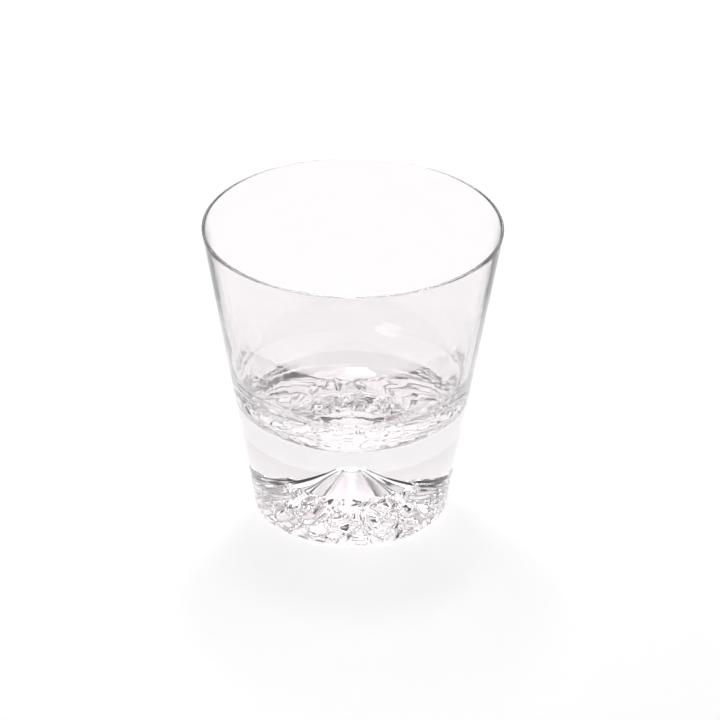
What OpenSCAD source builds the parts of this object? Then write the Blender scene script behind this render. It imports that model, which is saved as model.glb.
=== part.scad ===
// Whiskey tumbler in clear glass: a thin conical bowl on a thick foot, with a
// mountain-shaped hollow pressed into the underside of the foot.
// Millimetres, +Z up, origin in the middle of the plane the foot rests on.

/* [Overall] */
// Height from the table to the top of the rim
tumbler_h = 95; // [78:1:120]
// Outside diameter at the rim
mouth_d = 90; // [74:1:110]
// Outside diameter at the foot, before its edge is rounded
foot_d = 60; // [50:1:72]

/* [Bowl] */
// Wall thickness just under the rim
rim_wall = 1; // [0.8:0.1:2.4]
// Wall thickness where the wall runs into the floor curve
low_wall = 1.8; // [1.2:0.1:4.5]
// Radius of the curve between the wall and the inside floor
floor_curve_r = 24; // [6:0.5:26]
// Thickness of the bowl's own glass under the inside floor
bowl_floor = 2.5; // [1.5:0.5:6]

/* [Foot] */
// Width of the flat ring that the foot rests on
rest_ring_w = 0.9; // [0.5:0.1:3]
// Radius of the rounded outside edge of the foot
foot_edge_r = 0.8; // [0.4:0.1:2]
// Clear glass between the top of the hollow and the bowl
cover = 8.4; // [3:0.2:20]

/* [Mountain hollow] */
// Height of the summit above the table
peak_h = 20.6; // [12:0.2:26]
// Radius of the flat summit
summit_r = 2.7; // [1:0.1:6]
// How far the summit is dished
summit_dish = 0.4; // [0:0.1:1]
// Height of the steep wall just inside the foot ring
hollow_wall_h = 2.7; // [1:0.1:6]
// How hollow the flank is: 1 is a straight cone
flank_bend = 1.5; // [1:0.1:3]
// Depth of the radial gullies on the flank
gully_depth = 0.08; // [0:0.02:0.6]
// Height of the sharp ridges between the bowls of the foothills
ridge_h = 1.8; // [0:0.1:2.2]
// Height of the smaller ridges, further down
spur_h = 1; // [0:0.1:1.4]

/* [Hidden] */

// Colour of the clear glass and how far it is seen through
glass_colour = [0.90, 0.88, 0.90];
glass_alpha = 0.55;

// Facets of the round surfaces, of the small edge curves and of the floor curve
round_facets = 180;
edge_steps = 8;
curve_steps = 20;

// The foot and the bowl meet on one flat plane above the summit
seam_z = peak_h + cover;
floor_z = seam_z + bowl_floor;

// Slope of the outside wall, and its angle from the vertical
wall_slope = (mouth_d - foot_d) / 2 / tumbler_h;
wall_angle = atan(wall_slope);

// The lip is a half circle across the rim wall
lip_r = rim_wall / 2;
lip_z = tumbler_h - lip_r;
lip_centre_r = wall_r(lip_z) - lip_r;

// Inside wall: a straight line from under the lip to where the floor curve starts
curve_top_z = floor_z + floor_curve_r;
inner_slope = (inner_line_r(lip_z) - inner_line_r(curve_top_z)) / (lip_z - curve_top_z);
inner_angle = atan(inner_slope);

// The floor curve touches the floor plane and the inside wall line
curve_z = floor_z + floor_curve_r;
curve_r = inner_r(curve_z) - floor_curve_r / cos(inner_angle);

// The rounded edge of the foot touches the table plane and the outside wall
edge_centre_r = wall_r(foot_edge_r) - foot_edge_r / cos(wall_angle);
hollow_r = edge_centre_r - rest_ring_w;

// Grid of the hollow's surface, and how far the cutter reaches under the table plane
hollow_rings = 34;
hollow_sides = 132;
cutter_drop = 1;

// The relief fades out over this length above the foot ring
fade_run = 1.6;

// How late and how round the mountain turns down to the foot ring
turn_power = 30;
turn_round = 0.6;

// Radial gullies: how many, where they start, and how deep they are to each other
gullies = [[5, 50, 0.50], [9, 20, 0.40], [13, 110, 0.35]];

// Shares of the way out over which the ridges and then the spurs grow
ridge_from = 0.38;
ridge_full = 0.47;
spur_from = 0.5;
spur_full = 0.68;

// Ridges and spurs: how many round the foot, how much their spacing varies and how
// far they wander to the side, both in spacings, over what length, first random row
ridges = [18, 0.7, 1, 4.5, 0];
spurs = [31, 0.8, 1, 3, 20];

// How sharp the crests are, and how much of their height is below the smooth mountain
crest_power = 4;
crest_level = 0.25;

// Lumps in the bowls: how many round the foot, their length and their height
lumps = 22;
lump_run = 5;
lump_height = 0.4;

// Outside radius at a height
function wall_r(z) = foot_d / 2 + wall_slope * z;

// Inside radius aimed at: the wall thickens from the rim to the floor curve
function inner_line_r(z) =
    wall_r(z) - rim_wall - (low_wall - rim_wall) * (lip_z - z) / (lip_z - curve_top_z);

// Inside radius on the straight line of the wall
function inner_r(z) = inner_line_r(lip_z) - inner_slope * (lip_z - z);

// Points of an arc, from one angle to another
function arc(centre_r, centre_z, radius, from, to, steps) = [
    for (i = [0:steps])
        let (a = from + (to - from) * i / steps)
        [centre_r + radius * cos(a), centre_z + radius * sin(a)]
];

// Repeatable random value between 0 and 1 for a grid cell
function cell(i, j) = let (x = sin(i * 127.1 + j * 311.7) * 43758.5453) x - floor(x);

// Smooth step between 0 and 1
function ease(t) = t * t * (3 - 2 * t);
function ramp(from, to, x) = ease(max(0, min(1, (x - from) / (to - from))));

// Smooth random value at (u, v); u closes on itself after the given number of cells
function noise(u, v, around) =
    let (i = floor(u), j = floor(v), a = ease(u - i), b = ease(v - j))
    let (i0 = i % around, i1 = (i + 1) % around)
    (cell(i0, j) * (1 - a) + cell(i1, j) * a) * (1 - b)
    + (cell(i0, j + 1) * (1 - a) + cell(i1, j + 1) * a) * b;

// Sideways place of a crest, in spacings, at a distance downhill
function crest_place(j, s, jitter, wander, run, row) =
    let (i = floor(s / run), b = ease(s / run - i))
    j + jitter * (cell(j, row) - 0.5)
    + wander * (cell(j, row + i + 7) * (1 - b) + cell(j, row + i + 8) * b - 0.5);

// Distance to the nearest crest of a set, in spacings
function from_crest(turn, s, set) = min([
    for (d = [-1:2])
        let (u = turn * set[0], j = floor(u) + d, turns = floor(j / set[0]) * set[0])
        abs(u - turns - crest_place(j - turns, s, set[1], set[2], set[3], set[4]))
]);

// Sharp crest with smooth bowls on both sides, one high
function crest(away) = pow(max(0, 1 - 2 * away), crest_power) - crest_level;

// Height of the smooth mountain at a radius
function mountain_z(r) =
    let (out = max(0, r - summit_r) / (hollow_r - summit_r))
    let (dish = summit_dish * (1 - ramp(0, summit_r, r)))
    (hollow_wall_h + (peak_h - hollow_wall_h) * pow(max(0, 1 - out), flank_bend) - dish)
    * pow(max(0, 1 - pow(r / hollow_r, turn_power)), turn_round);

// Radius of a ring of the grid, closer together near the foot
function ring_r(t) = hollow_r * sin(90 * t);

// Direction that points from the hollow into the glass, across the profile
function into_glass(t) =
    let (d = 0.01, a = max(0, t - d), b = min(1, t + d))
    let (run = ring_r(b) - ring_r(a), fall = mountain_z(ring_r(b)) - mountain_z(ring_r(a)))
    [-fall, run] / norm([run, fall]);

// Distance walked along the profile to a ring, counted from the summit
function walked(t, step = 0.02) = t <= 0 ? 0
    : let (a = max(0, t - step))
      norm([ring_r(t) - ring_r(a), mountain_z(ring_r(t)) - mountain_z(ring_r(a))]) + walked(a, step);

// Gullies on the flank: they start at the summit's edge
function gully(r, turn) =
    gully_depth * ramp(summit_r, 2.5 * summit_r, r)
    * [for (g = gullies) g[2] * cos(g[0] * turn + g[1])] * [1, 1, 1];

// Foothills: smooth bowls parted by ridges and spurs that wander downhill
function foothill(s, r, turn) =
    let (out = r / hollow_r, u = turn / 360)
    ramp(ridge_from, ridge_full, out) * (
        ridge_h * crest(from_crest(u, s, ridges))
        + spur_h * ramp(spur_from, spur_full, out) * crest(from_crest(u, s, spurs))
        + lump_height * (noise(u * lumps, s / lump_run, lumps) - 0.5)
    );

// One point of the hollow's surface; the relief ends smoothly at the foot ring
function hollow_point(t, s, end, normal, turn) =
    let (r = ring_r(t), relief = (gully(r, turn) + foothill(s, r, turn)) * end)
    let (out_r = r + normal[0] * relief)
    [out_r * cos(turn), out_r * sin(turn), mountain_z(r) + normal[1] * relief];

// Cutter for the hollow: the mountain's surface, closed below the table plane
module mountain_hollow() {
    length = walked(1);
    surface = [
        for (i = [1:hollow_rings])
            let (t = i / hollow_rings, s = walked(t), end = ramp(0, fade_run, length - s))
            let (normal = into_glass(t))
            for (k = [0:hollow_sides - 1])
                hollow_point(t, s, end, normal, 360 * k / hollow_sides)
    ];
    skirt = [
        for (k = [0:hollow_sides - 1])
            let (turn = 360 * k / hollow_sides)
            [hollow_r * cos(turn), hollow_r * sin(turn), -cutter_drop]
    ];
    top = len(surface) + len(skirt);
    rows = hollow_rings;
    polyhedron(
        points = concat(surface, skirt, [[0, 0, mountain_z(0)], [0, 0, -cutter_drop]]),
        faces = concat(
            [for (k = [0:hollow_sides - 1]) [top, (k + 1) % hollow_sides, k]],
            [
                for (i = [0:rows - 1])
                    for (k = [0:hollow_sides - 1])
                        let (a = i * hollow_sides + k, b = i * hollow_sides + (k + 1) % hollow_sides)
                        each [[a, b, b + hollow_sides], [a, b + hollow_sides, a + hollow_sides]]
            ],
            [
                for (k = [0:hollow_sides - 1])
                    let (first = rows * hollow_sides)
                    [top + 1, first + k, first + (k + 1) % hollow_sides]
            ]
        )
    );
}

// Bowl: the blown cup, down to the flat seam on the foot
module bowl() {
    color(glass_colour, glass_alpha)
        rotate_extrude($fn = round_facets)
            polygon(concat(
                [[0, seam_z], [wall_r(seam_z), seam_z]],
                arc(lip_centre_r, lip_z, lip_r, -wall_angle, 90, edge_steps),
                arc(lip_centre_r, lip_z, lip_r, 90, 180 - inner_angle, edge_steps),
                arc(curve_r, curve_z, floor_curve_r, -inner_angle, -90, curve_steps),
                [[0, floor_z]]
            ));
}

// Base: the thick clear foot with the mountain pressed into its underside
module base() {
    color(glass_colour, glass_alpha)
        difference() {
            rotate_extrude($fn = round_facets)
                polygon(concat(
                    [[0, 0]],
                    arc(edge_centre_r, foot_edge_r, foot_edge_r, -90, -wall_angle, edge_steps),
                    [[wall_r(seam_z), seam_z], [0, seam_z]]
                ));
            mountain_hollow();
        }
}

bowl();
base();
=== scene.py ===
"""Clear glass tumbler: a thin conical bowl on a thick foot with a mountain-shaped hollow.

Lengths in the classes are millimetres unless a name says otherwise; the meshes are in metres.
"""

import logging
import math
from dataclasses import dataclass, field
from enum import Enum

import bpy
import numpy as np
from mathutils import Matrix, Vector


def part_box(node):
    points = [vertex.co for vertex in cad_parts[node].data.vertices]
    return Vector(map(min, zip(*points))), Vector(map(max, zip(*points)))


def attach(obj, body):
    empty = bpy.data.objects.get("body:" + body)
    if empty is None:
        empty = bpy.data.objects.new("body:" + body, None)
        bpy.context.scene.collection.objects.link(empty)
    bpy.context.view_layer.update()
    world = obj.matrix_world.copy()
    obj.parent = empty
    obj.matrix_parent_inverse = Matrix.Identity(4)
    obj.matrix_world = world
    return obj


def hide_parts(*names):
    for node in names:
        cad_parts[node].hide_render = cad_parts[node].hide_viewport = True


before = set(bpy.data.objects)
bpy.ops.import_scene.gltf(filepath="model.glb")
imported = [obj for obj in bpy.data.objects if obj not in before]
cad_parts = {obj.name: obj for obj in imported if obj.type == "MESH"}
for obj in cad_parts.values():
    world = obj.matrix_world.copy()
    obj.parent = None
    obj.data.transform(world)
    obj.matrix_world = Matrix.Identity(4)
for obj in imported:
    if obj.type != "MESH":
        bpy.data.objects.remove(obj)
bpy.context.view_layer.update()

MM = 0.001
TURN = 2 * math.pi

# Sharpness of the ridges, and the share of their height that lies below the smooth mountain
CREST_POWER = 6
CREST_LEVEL = 0.25

# Multipliers of the repeatable random values, and the first row that ridges drift by
CELL_STEPS = (127.1, 311.7)
CELL_SPREAD = 43758.5453
DRIFT_ROW = 7

# The plane where bowl and foot meet: radius of its innermost ring and number of bands
JOINT_HUB = 2.0
JOINT_BANDS = 3

Point = tuple[float, float]
Colour = tuple[float, float, float]

log = logging.getLogger("tumbler")


class Skin(Enum):
    """What a band of faces is made of: its number is its material slot."""

    GLASS = 0
    JOINT = 1


# ---------------------------------------------------------------- shader maths


class Wire:
    """A node's output that takes part in arithmetic; each operation adds one Math node."""

    def __init__(self, bench: "Bench", socket: bpy.types.NodeSocket) -> None:
        """Keeps the tree and the socket.

        Args:
            bench: The tree that new nodes go into.
            socket: The output that this wire carries.
        """
        self.bench = bench
        self.socket = socket

    def _math(self, operation: str, first: "Wire | float", second: "Wire | float") -> "Wire":
        """Adds a Math node.

        Args:
            operation: The node's operation, such as MULTIPLY.
            first: The first value.
            second: The second value.

        Returns:
            The result's wire.
        """
        node = self.bench.add("ShaderNodeMath", {"operation": operation}, {0: first, 1: second})
        return Wire(self.bench, node.outputs[0])

    def __add__(self, other: "Wire | float") -> "Wire":
        """Sum."""
        return self._math("ADD", self, other)

    __radd__ = __add__

    def __sub__(self, other: "Wire | float") -> "Wire":
        """Difference."""
        return self._math("SUBTRACT", self, other)

    def __rsub__(self, other: float) -> "Wire":
        """Difference with a plain number first, so that 1 - mask works."""
        return self._math("SUBTRACT", other, self)

    def __mul__(self, other: "Wire | float") -> "Wire":
        """Product."""
        return self._math("MULTIPLY", self, other)

    __rmul__ = __mul__

    def __truediv__(self, other: "Wire | float") -> "Wire":
        """Quotient."""
        return self._math("DIVIDE", self, other)

    def __rtruediv__(self, other: float) -> "Wire":
        """Quotient with a plain number first."""
        return self._math("DIVIDE", other, self)

    def ramp(self, low: float, high: float) -> "Wire":
        """Smooth step from 0 at one value to 1 at another.

        Args:
            low: The value that gives 0.
            high: The value that gives 1.

        Returns:
            The step's wire.
        """
        sockets = {"Value": self, "From Min": low, "From Max": high, "To Min": 0.0, "To Max": 1.0}
        node = self.bench.add("ShaderNodeMapRange", {"interpolation_type": "SMOOTHSTEP"}, sockets)
        return Wire(self.bench, node.outputs["Result"])

    def along(self, direction: tuple[float, float, float]) -> "Wire":
        """Dot product of this vector with a fixed direction.

        Args:
            direction: The direction, which is made one unit long.

        Returns:
            The product's wire.
        """
        sockets = {0: self, 1: tuple(Vector(direction).normalized())}
        node = self.bench.add("ShaderNodeVectorMath", {"operation": "DOT_PRODUCT"}, sockets)
        return Wire(self.bench, node.outputs["Value"])

    def stretched(self, scale: tuple[float, float, float]) -> "Wire":
        """This vector, scaled along each axis.

        Args:
            scale: The three factors.

        Returns:
            The scaled vector's wire.
        """
        sockets = {0: self, 1: scale}
        node = self.bench.add("ShaderNodeVectorMath", {"operation": "MULTIPLY"}, sockets)
        return Wire(self.bench, node.outputs["Vector"])


class Bench:
    """One node tree, with the single method that adds nodes to it."""

    def __init__(self, tree: bpy.types.NodeTree) -> None:
        """Takes an empty tree.

        Args:
            tree: The tree to fill; what it holds is removed.
        """
        self.tree = tree
        tree.nodes.clear()

    def add(
        self, kind: str, settings: dict[str, object], sockets: dict[str | int, object]
    ) -> bpy.types.Node:
        """Adds a node.

        Args:
            kind: The node's type.
            settings: Its own settings, such as an operation, set before the sockets.
            sockets: For each input, by name or number, a Wire to link or a plain value.

        Returns:
            The new node.
        """
        node = self.tree.nodes.new(kind)
        for name, setting in settings.items():
            setattr(node, name, setting)
        for key, value in sockets.items():
            if isinstance(value, Wire):
                self.tree.links.new(value.socket, node.inputs[key])
            else:
                node.inputs[key].default_value = value
        return node

    def wire(self, node: bpy.types.Node, output: str | int = 0) -> Wire:
        """The wire of a node's output."""
        return Wire(self, node.outputs[output])

    def place(self) -> Wire:
        """Object coordinates, which are metres in the object's own frame."""
        return self.wire(self.add("ShaderNodeTexCoord", {}, {}), "Object")

    def noise(self, where: Wire, scale: float, detail: float, roughness: float = 0.5) -> Wire:
        """Noise texture's value.

        Args:
            where: The coordinates.
            scale: How many features fit in a metre.
            detail: How many octaves are added.
            roughness: How strong each octave is to the one before.

        Returns:
            The noise's wire, about 0 to 1.
        """
        sockets = {"Vector": where, "Scale": scale, "Detail": detail, "Roughness": roughness}
        return self.wire(self.add("ShaderNodeTexNoise", {"noise_dimensions": "3D"}, sockets))

    def length(self, vector: Wire) -> Wire:
        """Length of a vector."""
        node = self.add("ShaderNodeVectorMath", {"operation": "LENGTH"}, {0: vector})
        return self.wire(node, "Value")

    def blend(self, mask: Wire, first: Colour, second: Colour) -> Wire:
        """Mixes two colours.

        Args:
            mask: 0 gives the first colour and 1 the second.
            first: Linear red, green and blue.
            second: Linear red, green and blue.

        Returns:
            The mixed colour's wire.
        """
        sockets = {0: mask, 6: (*first, 1.0), 7: (*second, 1.0)}
        return self.wire(self.add("ShaderNodeMix", {"data_type": "RGBA"}, sockets), 2)

    def finish(self, shader: bpy.types.Node, kind: str = "ShaderNodeOutputMaterial") -> None:
        """Links a shader to the tree's output.

        Args:
            shader: The node whose first output is shown.
            kind: The output node's type.
        """
        self.add(kind, {}, {"Surface": self.wire(shader)})


# ---------------------------------------------------------------- finishes


@dataclass(frozen=True)
class ClearGlass:
    """Clear lead-free crystal with a breath of lilac, faint cords and a worn resting ring.

    Attributes:
        name: The material's name.
        tint: What light keeps in crossing the piece.
        deep_tint: The same where the cords in the glass are.
        shade: What a lamp's light keeps at each surface on its way to the table.
        cord_scale: Cords in a metre, across, across and up the glass.
        cord_range: Values of the noise between which a cord fades in.
        wave_height: Height of the waves on the surface, in metres.
        wave_scale: Waves in a metre.
        wear_top: Height up to which the foot is scuffed, in metres; 0 for none.
        wear_roughness: Roughness of a full scuff.
        scuff_scale: Scuffs in a metre.
        scuff_range: Values of the noise between which a scuff fades in.
        scuff_base: Share of that roughness between the scuffs.
        ior: Index of refraction.
    """

    name: str
    tint: Colour
    deep_tint: Colour
    shade: Colour
    cord_scale: tuple[float, float, float] = (60.0, 60.0, 420.0)
    cord_range: tuple[float, float] = (0.35, 0.75)
    wave_height: float = 0.00001
    wave_scale: float = 160.0
    wear_top: float = 0.0
    wear_roughness: float = 0.22
    scuff_scale: float = 2600.0
    scuff_range: tuple[float, float] = (0.35, 0.65)
    scuff_base: float = 0.3
    ior: float = 1.51

    def material(self) -> bpy.types.Material:
        """Builds the glass.

        Returns:
            The material.
        """
        made = bpy.data.materials.new(self.name)
        made.use_nodes = True
        bench = Bench(made.node_tree)
        place = bench.place()
        cords = bench.noise(place.stretched(self.cord_scale), scale=1.0, detail=3.0)
        waves = bench.noise(place, self.wave_scale, detail=2.0)
        bump = bench.add("ShaderNodeBump", {}, {"Distance": self.wave_height, "Height": waves})
        sockets = {
            "Base Color": bench.blend(cords.ramp(*self.cord_range), self.tint, self.deep_tint),
            "IOR": self.ior,
            "Roughness": 0.0,
            "Transmission Weight": 1.0,
            "Normal": bench.wire(bump),
        }
        if self.wear_top:
            low = 1.0 - place.along((0, 0, 1)).ramp(0.0, self.wear_top)
            scuffs = bench.noise(place, self.scuff_scale, detail=4.0, roughness=0.7)
            share = self.scuff_base + (1.0 - self.scuff_base) * scuffs.ramp(*self.scuff_range)
            sockets["Roughness"] = low * share * self.wear_roughness
        glass = bench.add("ShaderNodeBsdfPrincipled", {}, sockets)
        clear = bench.add("ShaderNodeBsdfTransparent", {}, {"Color": (*self.shade, 1.0)})
        lamp_ray = bench.wire(bench.add("ShaderNodeLightPath", {}, {}), "Is Shadow Ray")
        both = {0: lamp_ray, 1: bench.wire(glass), 2: bench.wire(clear)}
        bench.finish(bench.add("ShaderNodeMixShader", {}, both))
        return made


@dataclass(frozen=True)
class OpenJoint:
    """The plane where bowl and foot are one glass: light crosses it as if it weren't there."""

    name: str = "joint_in_the_glass"

    def material(self) -> bpy.types.Material:
        """Builds the see-through joint.

        Returns:
            The material.
        """
        made = bpy.data.materials.new(self.name)
        made.use_nodes = True
        bench = Bench(made.node_tree)
        bench.finish(bench.add("ShaderNodeBsdfTransparent", {}, {"Color": (1.0, 1.0, 1.0, 1.0)}))
        return made


@dataclass(frozen=True)
class PaleTable:
    """Matt white table top with a barely visible mottle; its glow is painted light that stands in
    for soft studio light, with a painted pool of extra light under the foot.

    Attributes:
        name: The material's name.
        light: Its colour.
        dark: Its colour where the mottle is darkest.
        mottle_scale: Mottles in a metre.
        roughness: Its least roughness.
        roughness_spread: How much the mottle adds to that.
        glow: Painted light that the table gives off near the glass.
        far_glow: Painted light that the table gives off far away.
        near: Distance from the axis at which the light starts to change, in metres.
        far: Distance at which it has changed.
        under_glow: Painted light added under the foot, a painted pool of light there.
        under_from: Distance from the axis at which that starts to fade, in metres.
        under_to: Distance at which it has faded.
    """

    name: str = "pale_table"
    light: Colour = (0.80, 0.80, 0.80)
    dark: Colour = (0.79, 0.79, 0.79)
    mottle_scale: float = 14.0
    roughness: float = 0.85
    roughness_spread: float = 0.1
    glow: float = 0.385
    far_glow: float = 0.65
    near: float = 0.35
    far: float = 1.3
    under_glow: float = 0.15
    under_from: float = 0.022
    under_to: float = 0.034

    def material(self) -> bpy.types.Material:
        """Builds the table's finish.

        Returns:
            The material.
        """
        made = bpy.data.materials.new(self.name)
        made.use_nodes = True
        bench = Bench(made.node_tree)
        place = bench.place()
        mottle = bench.noise(place, self.mottle_scale, detail=3.0)
        away = bench.length(place)
        outward = away.ramp(self.near, self.far)
        # Painted light: the table glows in place of soft studio light, brighter far away, with a
        # painted pool of extra light under the foot
        under = self.under_glow * (1.0 - away.ramp(self.under_from, self.under_to))
        glow = self.glow + (self.far_glow - self.glow) * outward + under
        sockets = {
            "Base Color": bench.blend(mottle, self.light, self.dark),
            "Roughness": self.roughness + self.roughness_spread * mottle,
            "Specular IOR Level": 0.0,
            "Emission Color": glow,
            "Emission Strength": 1.0,
        }
        bench.finish(bench.add("ShaderNodeBsdfPrincipled", {}, sockets))
        return made


# ---------------------------------------------------------------- shapes


@dataclass(frozen=True)
class Outline:
    """The straight outside wall that both pieces share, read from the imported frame.

    Attributes:
        height: From the table to the top of the rim.
        seam_z: Height of the plane where the bowl meets the foot.
        seam_radius: Outside radius there.
        slope: How much the radius grows with each millimetre of height.
        rim_wall: Wall thickness just under the rim.
    """

    height: float
    seam_z: float
    seam_radius: float
    slope: float
    rim_wall: float

    @classmethod
    def from_frame(cls, rim_wall: float = 1.0) -> "Outline":
        """Measures the two nodes.

        Args:
            rim_wall: Wall thickness just under the rim.

        Returns:
            The outline.
        """
        low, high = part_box("bowl")
        seam_z, height, widest = low.z / MM, high.z / MM, high.x / MM
        seam_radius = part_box("base")[1].x / MM
        slope = (widest - seam_radius) / (height - rim_wall / 2 - seam_z)
        return cls(height, seam_z, seam_radius, slope, rim_wall)

    @property
    def angle(self) -> float:
        """The wall's angle from the vertical, in radians."""
        return math.atan(self.slope)

    def radius(self, z: float) -> float:
        """Outside radius at a height."""
        return self.seam_radius + self.slope * (z - self.seam_z)


def arc(centre: Point, radius: float, start: float, end: float, steps: int) -> list[Point]:
    """Points of an arc across a profile.

    Args:
        centre: Its centre's radius and height.
        radius: Its own radius.
        start: Angle of the first point from the outward direction, in radians.
        end: Angle of the last point.
        steps: How many pieces it is divided into.

    Returns:
        Radius and height of each point.
    """
    angles = np.linspace(start, end, steps + 1)
    return [(centre[0] + radius * math.cos(a), centre[1] + radius * math.sin(a)) for a in angles]


def line(first: Point, last: Point, steps: int) -> list[Point]:
    """Points of a straight stretch, both ends included.

    Args:
        first: Radius and height of its first point.
        last: Radius and height of its last point.
        steps: How many pieces it is divided into.

    Returns:
        Radius and height of each point.
    """
    run, rise = last[0] - first[0], last[1] - first[1]
    return [(first[0] + run * s, first[1] + rise * s) for s in np.linspace(0, 1, steps + 1)]


@dataclass
class RingStack:
    """A closed skin made of rings of points, from one pole on the axis to the other.

    Attributes:
        segments: Points in each ring.
        rings: The rings so far; each is an array of points in millimetres.
        skins: What the band before each ring is made of.
        creases: Numbers of the rings along which the shading breaks.
    """

    segments: int
    rings: list[np.ndarray] = field(default_factory=list)
    skins: list[Skin] = field(default_factory=list)
    creases: list[int] = field(default_factory=list)

    @property
    def angles(self) -> np.ndarray:
        """Angle of each point of a ring."""
        return np.arange(self.segments) * TURN / self.segments

    def ring(
        self, radius: np.ndarray | float, z: np.ndarray | float, skin: Skin = Skin.GLASS
    ) -> None:
        """Adds one ring.

        Args:
            radius: Its radius, one number or one for each point.
            z: Its height, the same way.
            skin: What the band that ends at it is made of.
        """
        x, y = radius * np.cos(self.angles), radius * np.sin(self.angles)
        self.rings.append(np.stack([x, y, z * np.ones(self.segments)], axis=1))
        self.skins.append(skin)

    def profile(self, points: list[Point], skin: Skin = Skin.GLASS) -> None:
        """Adds a round ring for each point of a profile.

        Args:
            points: Radius and height of each.
            skin: What the bands are made of.
        """
        for radius, z in points:
            self.ring(radius, z, skin)

    def crease(self) -> None:
        """Breaks the shading along the last ring."""
        self.creases.append(len(self.rings) - 1)

    def build(
        self, name: str, first_z: float, last_z: float, last_skin: Skin = Skin.GLASS
    ) -> bpy.types.Object:
        """Closes the stack at both poles and makes the mesh.

        Args:
            name: The object's name.
            first_z: Height of the first pole.
            last_z: Height of the last pole.
            last_skin: What the fan round the last pole is made of.

        Returns:
            The object, in the scene.
        """
        count, around = len(self.rings), self.segments
        poles = np.array([[0, 0, first_z], [0, 0, last_z]], float)
        points = np.concatenate([*self.rings, poles]) * MM
        here = np.arange(around)
        after = (here + 1) % around
        start, end = count * around, count * around + 1
        faces = [(start, int(b), int(a)) for a, b in zip(here, after)]
        kinds = [self.skins[0].value] * around
        for i in range(count - 1):
            low, high = i * around, (i + 1) * around
            quads = np.stack([low + here, low + after, high + after, high + here], axis=1)
            faces.extend(map(tuple, quads.tolist()))
            kinds.extend([self.skins[i + 1].value] * around)
        last = (count - 1) * around
        faces.extend((last + int(a), last + int(b), end) for a, b in zip(here, after))
        kinds.extend([last_skin.value] * around)
        mesh = bpy.data.meshes.new(name)
        mesh.from_pydata(points.tolist(), [], faces)
        mesh.polygons.foreach_set("material_index", kinds)
        mesh.polygons.foreach_set("use_smooth", [True] * len(faces))
        self._mark_creases(mesh)
        mesh.update()
        made = bpy.data.objects.new(name, mesh)
        bpy.context.scene.collection.objects.link(made)
        return made

    def _mark_creases(self, mesh: bpy.types.Mesh) -> None:
        """Marks the creased rings' edges as sharp.

        Args:
            mesh: The mesh of the whole stack.
        """
        pairs = np.empty(len(mesh.edges) * 2, int)
        mesh.edges.foreach_get("vertices", pairs)
        ring_of = pairs.reshape(-1, 2) // self.segments
        sharp = (ring_of[:, 0] == ring_of[:, 1]) & np.isin(ring_of[:, 0], self.creases)
        mesh.edges.foreach_set("use_edge_sharp", sharp)


def cell(i: np.ndarray, j: np.ndarray | float) -> np.ndarray:
    """Repeatable random value between 0 and 1 for each grid cell."""
    x = np.sin(np.radians(i * CELL_STEPS[0] + j * CELL_STEPS[1])) * CELL_SPREAD
    return x - np.floor(x)


def ease(t: np.ndarray) -> np.ndarray:
    """Smooth step of a share between 0 and 1."""
    return t * t * (3 - 2 * t)


def ramp(low: float, high: float, x: np.ndarray) -> np.ndarray:
    """Smooth step from 0 at the low value to 1 at the high one."""
    return ease(np.clip((x - low) / (high - low), 0, 1))


def crest(away: np.ndarray) -> np.ndarray:
    """Sharp crest with smooth bowls on both sides, one high, at each distance in spacings."""
    return np.maximum(0, 1 - 2 * away) ** CREST_POWER - CREST_LEVEL


def noise(u: np.ndarray, v: np.ndarray, around: int) -> np.ndarray:
    """Smooth random value that closes on itself.

    Args:
        u: Place round the foot, in cells.
        v: Place downhill, in cells.
        around: Cells in a whole turn.

    Returns:
        A value between 0 and 1 for each place.
    """
    i, j = np.floor(u), np.floor(v)
    a, b = ease(u - i), ease(v - j)
    first, second = i % around, (i + 1) % around
    near = cell(first, j) * (1 - a) + cell(second, j) * a
    far = cell(first, j + 1) * (1 - a) + cell(second, j + 1) * a
    return near * (1 - b) + far * b


@dataclass
class Crests:
    """Sharp ridges that run downhill round the mountain.

    Attributes:
        count: How many there are round the foot.
        height: How high they are.
        jitter: How much their spacing varies, in spacings.
        wander: How far they wander to the side, in spacings.
        run: Over what length downhill they do so.
        first_row: Row of the random values that they use.
    """

    count: int
    height: float
    jitter: float
    wander: float
    run: float
    first_row: int = 0

    def away(self, turn: np.ndarray, walked: np.ndarray) -> np.ndarray:
        """Distance to the nearest ridge.

        Args:
            turn: Place round the foot, in whole turns.
            walked: Distance downhill from the summit.

        Returns:
            The distance in spacings.
        """
        u = turn * self.count
        nearest = np.full_like(u, np.inf)
        step = np.floor(walked / self.run)
        share = ease(walked / self.run - step)
        row = step + DRIFT_ROW + self.first_row
        for side in range(-1, 3):
            j = np.floor(u) + side
            own = j % self.count
            shift = self.jitter * (cell(own, self.first_row) - 0.5)
            drift = cell(own, row) * (1 - share) + cell(own, row + 1) * share
            place = j + shift + self.wander * (drift - 0.5)
            nearest = np.minimum(nearest, np.abs(u - place))
        return nearest


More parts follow.
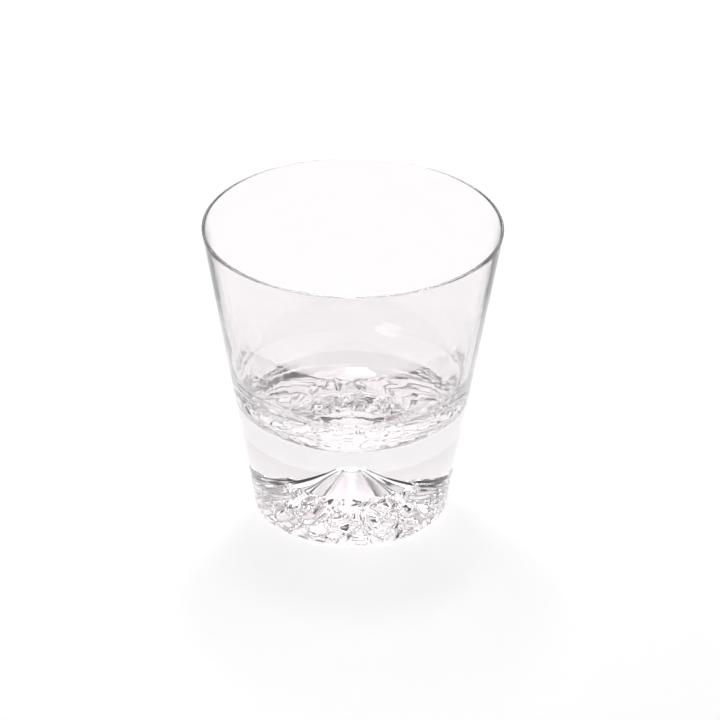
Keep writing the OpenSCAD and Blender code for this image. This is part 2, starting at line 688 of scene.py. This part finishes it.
@dataclass
class MountainHollow:
    """The hollow pressed into the foot: a concave cone with a flat summit and craggy foothills.

    Attributes:
        radius: Radius at the table.
        peak_z: Height of the summit.
        summit_radius: Radius of the flat summit.
        summit_dish: How far the summit is dished.
        wall_height: Height of the steep wall just inside the foot ring.
        flank_bend: How hollow the flank is; 1 is a straight cone.
        turn_power: How late the mountain turns down to the foot ring.
        turn_round: How round that turn is.
        fade_run: Length above the foot ring over which the relief fades out.
        gully_depth: Depth of the gullies on the flank.
        gully_full: Radius at which they reach full depth, in summit radii.
        gullies: For each set, how many, where it starts in degrees, and its weight.
        relief_start: Share of the radius at which the foothills start.
        relief_growth: Share over which they reach full depth.
        ridges: The large ridges between the bowls of the foothills.
        spurs: The smaller ridges, lower down.
        spur_from: Share of the radius at which the spurs start.
        spur_full: Share at which they reach full height.
        lumps: Number of lumps round the foot.
        lump_run: Their length downhill.
        lump_height: Their height.
        grain: Number of fine crinkles round the foot.
        grain_run: Their length downhill.
        grain_height: Their height.
        rows: Rings of points from the summit to the table.
        profile_points: Points of the smooth profile that is walked down.
        normal_reach: Length to each side over which the direction into the glass is taken.
    """

    radius: float
    peak_z: float = 20.6
    summit_radius: float = 2.7
    summit_dish: float = 0.4
    wall_height: float = 2.7
    flank_bend: float = 1.5
    turn_power: float = 30.0
    turn_round: float = 0.6
    fade_run: float = 1.6
    gully_depth: float = 0.08
    gully_full: float = 2.5
    gullies: tuple[tuple[int, float, float], ...] = ((5, 50, 0.50), (9, 20, 0.40), (13, 110, 0.35))
    relief_start: float = 0.38
    relief_growth: float = 0.09
    ridges: Crests = field(default_factory=lambda: Crests(18, 1.8, 0.7, 1.0, 4.5))
    spurs: Crests = field(default_factory=lambda: Crests(31, 1.0, 0.8, 1.0, 3.0, 20))
    spur_from: float = 0.5
    spur_full: float = 0.68
    lumps: int = 22
    lump_run: float = 5.0
    lump_height: float = 0.4
    grain: int = 120
    grain_run: float = 1.3
    grain_height: float = 0.06
    rows: int = 150
    profile_points: int = 4001
    normal_reach: float = 0.35

    def smooth_z(self, r: np.ndarray) -> np.ndarray:
        """Height of the smooth mountain at each radius."""
        out = np.maximum(0, r - self.summit_radius) / (self.radius - self.summit_radius)
        rise = (self.peak_z - self.wall_height) * np.maximum(0, 1 - out) ** self.flank_bend
        dish = self.summit_dish * (1 - ramp(0, self.summit_radius, r))
        turn = np.maximum(0, 1 - (r / self.radius) ** self.turn_power) ** self.turn_round
        return (self.wall_height + rise - dish) * turn

    def _rows(self) -> tuple[np.ndarray, np.ndarray, np.ndarray, np.ndarray]:
        """Walks down the smooth profile in equal steps.

        Returns:
            Radius, height, distance walked and the direction into the glass, for each row.
        """
        fine = self.radius * np.sin(np.linspace(0, math.pi / 2, self.profile_points))
        tall = self.smooth_z(fine)
        walked = np.concatenate([[0], np.cumsum(np.hypot(np.diff(fine), np.diff(tall)))])
        steps = np.linspace(0, walked[-1], self.rows + 1)[1:]
        r, z = np.interp(steps, walked, fine), np.interp(steps, walked, tall)
        ahead, behind = steps + self.normal_reach, steps - self.normal_reach
        run = np.interp(ahead, walked, fine) - np.interp(behind, walked, fine)
        fall = np.interp(ahead, walked, tall) - np.interp(behind, walked, tall)
        normal = np.stack([-fall, run], axis=1) / np.hypot(run, fall)[:, None]
        return r, z, steps, normal

    def surface(self, angles: np.ndarray) -> tuple[np.ndarray, np.ndarray]:
        """Points of the hollow.

        Args:
            angles: Angle of each point of a ring.

        Returns:
            Radii and heights, one row for each ring from the summit to the table.
        """
        r, z, walked, normal = self._rows()
        turn, s = np.meshgrid(angles / TURN, walked)
        share = (r / self.radius)[:, None]
        end = ramp(0, self.fade_run, walked[-1] - s)
        relief = (self._gully(r[:, None], turn) + self._foothill(turn, s, share)) * end
        return r[:, None] + normal[:, :1] * relief, z[:, None] + normal[:, 1:] * relief

    def _gully(self, r: np.ndarray, turn: np.ndarray) -> np.ndarray:
        """Height of the gullies on the flank.

        Args:
            r: Radius of each row.
            turn: Place round the foot, in whole turns.

        Returns:
            Height into the glass.
        """
        waves = [w * np.cos(n * TURN * turn + math.radians(start)) for n, start, w in self.gullies]
        full = self.gully_full * self.summit_radius
        return self.gully_depth * ramp(self.summit_radius, full, r) * sum(waves)

    def _foothill(self, turn: np.ndarray, s: np.ndarray, share: np.ndarray) -> np.ndarray:
        """Height of the foothills.

        Args:
            turn: Place round the foot, in whole turns.
            s: Distance downhill from the summit.
            share: Share of the hollow's radius, for each row.

        Returns:
            Height into the glass.
        """
        start = ramp(self.relief_start, self.relief_start + self.relief_growth, share)
        spur_start = ramp(self.spur_from, self.spur_full, share)
        ridge = self.ridges.height * crest(self.ridges.away(turn, s))
        spur = self.spurs.height * crest(self.spurs.away(turn, s)) * spur_start
        lump = self.lump_height * (noise(turn * self.lumps, s / self.lump_run, self.lumps) - 0.5)
        crinkle = noise(turn * self.grain, s / self.grain_run, self.grain) - 0.5
        return start * (ridge + spur + lump + self.grain_height * crinkle)


@dataclass
class Bowl:
    """The thin blown cup, down to the plane where it becomes the foot.

    Attributes:
        outline: The outside wall.
        finish: The glass it is made of.
        low_wall: Wall thickness where the wall runs into the floor curve.
        floor_curve: Radius of the curve between the wall and the inside floor.
        floor: Thickness of the bowl's own glass under the inside floor.
        ripple: Height of the faint waves that blowing leaves on the inside.
        ripples: Waves round the wall.
        ripple_run: Their length down the wall.
        ripple_start: Heights above the inside floor between which they grow.
        ripple_fade: Heights above the table between which they fade.
        ripple_loss: Share of their height that they lose there.
        segments: Points in each ring.
        wall_rings: Bands of the straight wall, outside and inside.
        curve_rings: Bands of the floor curve.
        floor_rings: Bands of the flat inside floor.
        lip_rings: Bands of each half of the lip.
    """

    outline: Outline
    finish: ClearGlass
    low_wall: float = 1.8
    floor_curve: float = 24.0
    floor: float = 2.5
    ripple: float = 0.09
    ripples: int = 130
    ripple_run: float = 9.0
    ripple_start: tuple[float, float] = (1.0, 6.0)
    ripple_fade: tuple[float, float] = (48.0, 68.0)
    ripple_loss: float = 0.9
    segments: int = 540
    wall_rings: int = 40
    curve_rings: int = 60
    floor_rings: int = 16
    lip_rings: int = 10

    @property
    def floor_z(self) -> float:
        """Height of the inside floor."""
        return self.outline.seam_z + self.floor

    def inside(self) -> list[Point]:
        """Profile of the inside from under the lip to the middle of the floor.

        Returns:
            Radius and height of each point, without the one on the axis.
        """
        shape, lip_z = self.outline, self.outline.height - self.outline.rim_wall / 2
        curve_z = self.floor_z + self.floor_curve
        top = shape.radius(lip_z) - shape.rim_wall
        low = shape.radius(curve_z) - self.low_wall
        slope = (top - low) / (lip_z - curve_z)
        lean = math.atan(slope)
        centre = low - self.floor_curve / math.cos(lean)
        curve = arc((centre, curve_z), self.floor_curve, -lean, -math.pi / 2, self.curve_rings)
        wall = line((top, lip_z), curve[0], self.wall_rings)
        flat = line(curve[-1], (0, self.floor_z), self.floor_rings)
        return wall[1:-1] + curve + flat[1:-1]

    def ripple_at(self, z: float) -> float:
        """Height of the waves at a height of the wall.

        Args:
            z: Height above the table.

        Returns:
            Height of the waves there.
        """
        start, full = (self.floor_z + above for above in self.ripple_start)
        fade = 1 - self.ripple_loss * ramp(*self.ripple_fade, z)
        return float(self.ripple * ramp(start, full, z) * fade)

    def mesh(self) -> bpy.types.Object:
        """Builds the bowl.

        Returns:
            The object.
        """
        shape, stack = self.outline, RingStack(self.segments)
        lip = shape.rim_wall / 2
        lip_z = shape.height - lip
        seam = (shape.seam_radius, shape.seam_z)
        stack.profile(line((JOINT_HUB, shape.seam_z), seam, JOINT_BANDS), Skin.JOINT)
        stack.crease()
        stack.profile(line(seam, (shape.radius(lip_z), lip_z), self.wall_rings)[1:-1])
        centre = (shape.radius(lip_z) - lip, lip_z)
        stack.profile(arc(centre, lip, -shape.angle, math.pi / 2, self.lip_rings))
        stack.profile(arc(centre, lip, math.pi / 2, math.pi - shape.angle, self.lip_rings)[1:])
        around = stack.angles / TURN * self.ripples
        for radius, z in self.inside():
            swell = noise(around, np.full_like(around, z / self.ripple_run), self.ripples)
            stack.ring(radius + self.ripple_at(z) * (swell - 0.5), z)
        return stack.build("bowl_glass", shape.seam_z, self.floor_z)

    def make(self, joint: bpy.types.Material) -> bpy.types.Object:
        """Builds, dresses and places the bowl.

        Args:
            joint: The material of the plane that it shares with the foot.

        Returns:
            The piece.
        """
        piece = self.mesh()
        return dress(piece, self.finish.material(), joint, "bowl")


@dataclass
class Base:
    """The thick clear foot with the mountain pressed into its underside.

    Attributes:
        outline: The outside wall.
        finish: The glass it is made of.
        edge: Radius of the rounded outside edge of the foot.
        ring_width: Width of the flat ring that the foot rests on.
        segments: Points in each ring.
        edge_rings: Bands of the rounded edge.
        wall_rings: Bands of the outside wall.
    """

    outline: Outline
    finish: ClearGlass
    edge: float = 0.8
    ring_width: float = 0.9
    segments: int = 540
    edge_rings: int = 8
    wall_rings: int = 14

    def hollow(self) -> MountainHollow:
        """The hollow, which ends at the inside of the resting ring."""
        return MountainHollow(self.edge_centre() - self.ring_width)

    def edge_centre(self) -> float:
        """Radius at which the rounded edge meets the table."""
        return self.outline.radius(self.edge) - self.edge / math.cos(self.outline.angle)

    def mesh(self) -> bpy.types.Object:
        """Builds the foot.

        Returns:
            The object.
        """
        shape, stack = self.outline, RingStack(self.segments)
        mountain = self.hollow()
        radii, heights = mountain.surface(stack.angles)
        for radius, z in zip(radii, heights):
            stack.ring(radius, z)
        centre, seam = (self.edge_centre(), self.edge), (shape.seam_radius, shape.seam_z)
        foot = arc(centre, self.edge, -math.pi / 2, -shape.angle, self.edge_rings)
        stack.profile(foot)
        stack.profile(line(foot[-1], seam, self.wall_rings)[1:])
        stack.crease()
        stack.profile(line(seam, (JOINT_HUB, shape.seam_z), JOINT_BANDS)[1:], Skin.JOINT)
        summit = float(mountain.smooth_z(np.zeros(1))[0])
        return stack.build("base_glass", summit, shape.seam_z, Skin.JOINT)

    def make(self, joint: bpy.types.Material) -> bpy.types.Object:
        """Builds, dresses and places the foot.

        Args:
            joint: The material of the plane that it shares with the bowl.

        Returns:
            The piece.
        """
        piece = self.mesh()
        return dress(piece, self.finish.material(), joint, "base")


def dress(
    piece: bpy.types.Object, glass: bpy.types.Material, joint: bpy.types.Material, node: str
) -> bpy.types.Object:
    """Gives a piece its two materials and its place in the frame.

    Args:
        piece: The object.
        glass: Its glass.
        joint: The joint plane's material.
        node: The CAD node that it stands for.

    Returns:
        The same object.
    """
    piece.data.materials.append(glass)
    piece.data.materials.append(joint)
    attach(piece, "root")
    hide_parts(node)
    return piece


# ---------------------------------------------------------------- studio


@dataclass
class Softbox:
    """A soft lamp aimed at the glass.

    Attributes:
        name: The lamp's name.
        place: Where it stands, in metres.
        size: Its width and height, in metres.
        power: Its power, in watts.
        aim: The place that it points at, in metres.
    """

    name: str
    place: tuple[float, float, float]
    size: tuple[float, float]
    power: float
    aim: tuple[float, float, float] = (0.0, 0.0, 0.04)

    def make(self) -> bpy.types.Object:
        """Sets the lamp up.

        Returns:
            The lamp.
        """
        lamp = bpy.data.lights.new(self.name, "AREA")
        lamp.shape, lamp.size, lamp.size_y, lamp.energy = "RECTANGLE", *self.size, self.power
        made = bpy.data.objects.new(self.name, lamp)
        made.location = self.place
        beam = Vector(self.aim) - Vector(self.place)
        made.rotation_euler = beam.to_track_quat("-Z", "Y").to_euler()
        bpy.context.scene.collection.objects.link(made)
        return made


@dataclass
class Camera:
    """The camera, aimed with a small turn off the middle of the glass.

    Attributes:
        distance: From the middle of the glass, in millimetres.
        elevation: Above the horizon, in degrees.
        roll: Turn about its own axis, in degrees.
        turn_right: Turn off the middle to the side, in degrees.
        tilt_up: Turn off the middle upward, in degrees.
        lens: Focal length, in millimetres.
        sensor: Width of the sensor, in millimetres.
        clip: Nearest and farthest distance that it sees, in metres.
    """

    distance: float = 914.0
    elevation: float = 30.03
    roll: float = 0.412
    turn_right: float = -0.1545
    tilt_up: float = 0.0567
    lens: float = 150.0
    sensor: float = 36.0
    clip: tuple[float, float] = (0.01, 50.0)

    def make(self, middle: Vector) -> bpy.types.Object:
        """Sets the camera up.

        Args:
            middle: The middle of the glass, in metres.

        Returns:
            The camera.
        """
        lens = bpy.data.cameras.new("camera")
        lens.lens, lens.sensor_width = self.lens, self.sensor
        lens.clip_start, lens.clip_end = self.clip
        made = bpy.data.objects.new("camera", lens)
        bpy.context.scene.collection.objects.link(made)
        level = Matrix.Rotation(math.radians(90 - self.elevation), 4, "X")
        back = level @ Vector((0, 0, self.distance * MM))
        aim = Matrix.Rotation(math.radians(self.turn_right), 4, "Y")
        nod = Matrix.Rotation(math.radians(self.tilt_up), 4, "X")
        roll = Matrix.Rotation(math.radians(self.roll), 4, "Z")
        made.matrix_world = Matrix.Translation(middle + back) @ level @ aim @ nod @ roll
        bpy.context.scene.camera = made
        return made


@dataclass
class Studio:
    """The plain table, the lamps and the sky that the glass mirrors.

    A direction of the sky is a unit vector, and the limits below are its parts: back along Y,
    up along Z and to either side along X.

    Attributes:
        table_size: Side of the table, in metres.
        table_drop: Gap between the foot and the table, in metres.
        caustics: Whether light that the glass bends or mirrors reaches the table.
        dark_sky: Brightness of the sky overhead and in front.
        back_sky: Brightness of the sweep behind the glass.
        back_from: How far back the sweep starts.
        back_full: How far back it has its full brightness.
        high_sky: Brightness added to the sweep's upper part.
        high_from: How far up that part starts.
        high_full: How far up it has its full brightness.
        low_from: How far up the sweep starts.
        low_full: How far up it has its full brightness.
        top_from: How far up the dark patch overhead starts.
        top_full: How far up it is fully dark.
        side_sky: Brightness of the panels to the left and right.
        side_from: How far to the side they start.
        side_full: How far to the side they have their full brightness.
        side_low: How far up they start.
        side_high: How far up they have their full brightness.
        side_back: How far back they start and have their full brightness.
        strip_sky: Brightness added in the middle of the sweep.
        strip_width: How far to the side that strip reaches.
        key: The lamp above and behind the glass.
        fill: The soft lamp in front, to the left.
    """

    table_size: float = 8.0
    table_drop: float = 0.00002
    caustics: bool = True
    dark_sky: float = 0.01
    back_sky: float = 1.22
    back_from: float = 0.15
    back_full: float = 0.55
    high_sky: float = 0.35
    high_from: float = 0.6
    high_full: float = 0.78
    low_from: float = 0.25
    low_full: float = 0.5
    top_from: float = 0.89
    top_full: float = 0.96
    side_sky: float = 0.9
    side_from: float = 0.26
    side_full: float = 0.4
    side_low: float = 0.66
    side_high: float = 0.76
    side_back: tuple[float, float] = (-0.1, 0.02)
    strip_sky: float = 0.8
    strip_width: float = 0.22
    key: Softbox = field(
        default_factory=lambda: Softbox("key", (-0.03, 0.30, 0.606), (0.10, 0.17), 1.8)
    )
    fill: Softbox = field(
        default_factory=lambda: Softbox("fill", (-0.54, -0.55, 0.66), (0.35, 0.35), 1.0)
    )

    def table(self) -> bpy.types.Object:
        """The table, a hair below the foot so that the two don't share a plane.

        Returns:
            The table.
        """
        half, z = self.table_size / 2, -self.table_drop
        corners = [(-half, -half, z), (half, -half, z), (half, half, z), (-half, half, z)]
        mesh = bpy.data.meshes.new("table")
        mesh.from_pydata(corners, [], [(0, 1, 2, 3)])
        mesh.materials.append(PaleTable().material())
        made = bpy.data.objects.new("table", mesh)
        bpy.context.scene.collection.objects.link(made)
        return made

    def sky(self) -> bpy.types.World:
        """A dim room with a bright sweep behind the glass.

        Returns:
            The world.
        """
        world = bpy.data.worlds.new("studio")
        world.use_nodes = True
        bench = Bench(world.node_tree)
        way = bench.wire(bench.add("ShaderNodeTexCoord", {}, {}), "Generated")
        side, back, up = way.along((1, 0, 0)), way.along((0, 1, 0)), way.along((0, 0, 1))
        side_squared = side * side
        sweep = back.ramp(self.back_from, self.back_full)
        above = up.ramp(self.low_from, self.low_full)
        strip = self.strip_sky * (1.0 - side_squared.ramp(0.0, self.strip_width**2))
        high = self.high_sky * up.ramp(self.high_from, self.high_full)
        behind = (self.back_sky + strip + high) * sweep * above
        aside = side_squared.ramp(self.side_from**2, self.side_full**2)
        aside = aside * up.ramp(self.side_low, self.side_high) * back.ramp(*self.side_back)
        panels = self.side_sky * aside * (1.0 - sweep)
        below_top = 1.0 - up.ramp(self.top_from, self.top_full)
        strength = self.dark_sky + (behind + panels) * below_top
        sockets = {"Color": (1.0, 1.0, 1.0, 1.0), "Strength": strength}
        bench.finish(bench.add("ShaderNodeBackground", {}, sockets), "ShaderNodeOutputWorld")
        bpy.context.scene.world = world
        return world

    def tracing(self) -> None:
        """Enough bounces for light to cross both walls and the foot."""
        scene = bpy.context.scene
        scene.view_settings.view_transform = "Standard"
        scene.cycles.max_bounces = 64
        scene.cycles.transmission_bounces = 48
        scene.cycles.glossy_bounces = 28
        scene.cycles.transparent_max_bounces = 64
        scene.cycles.blur_glossy = 0.2
        scene.cycles.caustics_refractive = self.caustics
        scene.cycles.caustics_reflective = self.caustics

    def make(self, middle: Vector) -> None:
        """Sets the whole studio up.

        Args:
            middle: The middle of the glass, in metres.
        """
        self.table()
        self.sky()
        self.key.make()
        self.fill.make()
        Camera().make(middle)
        self.tracing()


# ---------------------------------------------------------------- the whole object


BOWL_GLASS = ClearGlass(
    "bowl_glass",
    tint=(0.925, 0.903, 0.910),
    deep_tint=(0.915, 0.893, 0.902),
    shade=(0.760, 0.755, 0.757),
)
BASE_GLASS = ClearGlass(
    "base_glass",
    tint=(0.785, 0.752, 0.770),
    deep_tint=(0.770, 0.737, 0.755),
    shade=(0.72, 0.715, 0.717),
    wear_top=0.0003,
)


def report(piece: bpy.types.Object) -> None:
    """Logs a piece's name, faces and size.

    Args:
        piece: The object.
    """
    size = " x ".join(f"{side / MM:.1f}" for side in piece.dimensions)
    log.info("%s: %d faces, %s mm", piece.name, len(piece.data.polygons), size)


def main() -> None:
    """Builds the tumbler and its studio."""
    logging.basicConfig(level=logging.INFO, format="%(name)s: %(message)s")
    outline = Outline.from_frame()
    joint = OpenJoint().material()
    for part in (Bowl(outline, BOWL_GLASS), Base(outline, BASE_GLASS)):
        report(part.make(joint))
    Studio().make(Vector((0, 0, outline.height / 2 * MM)))


if __name__ == "__main__":
    main()
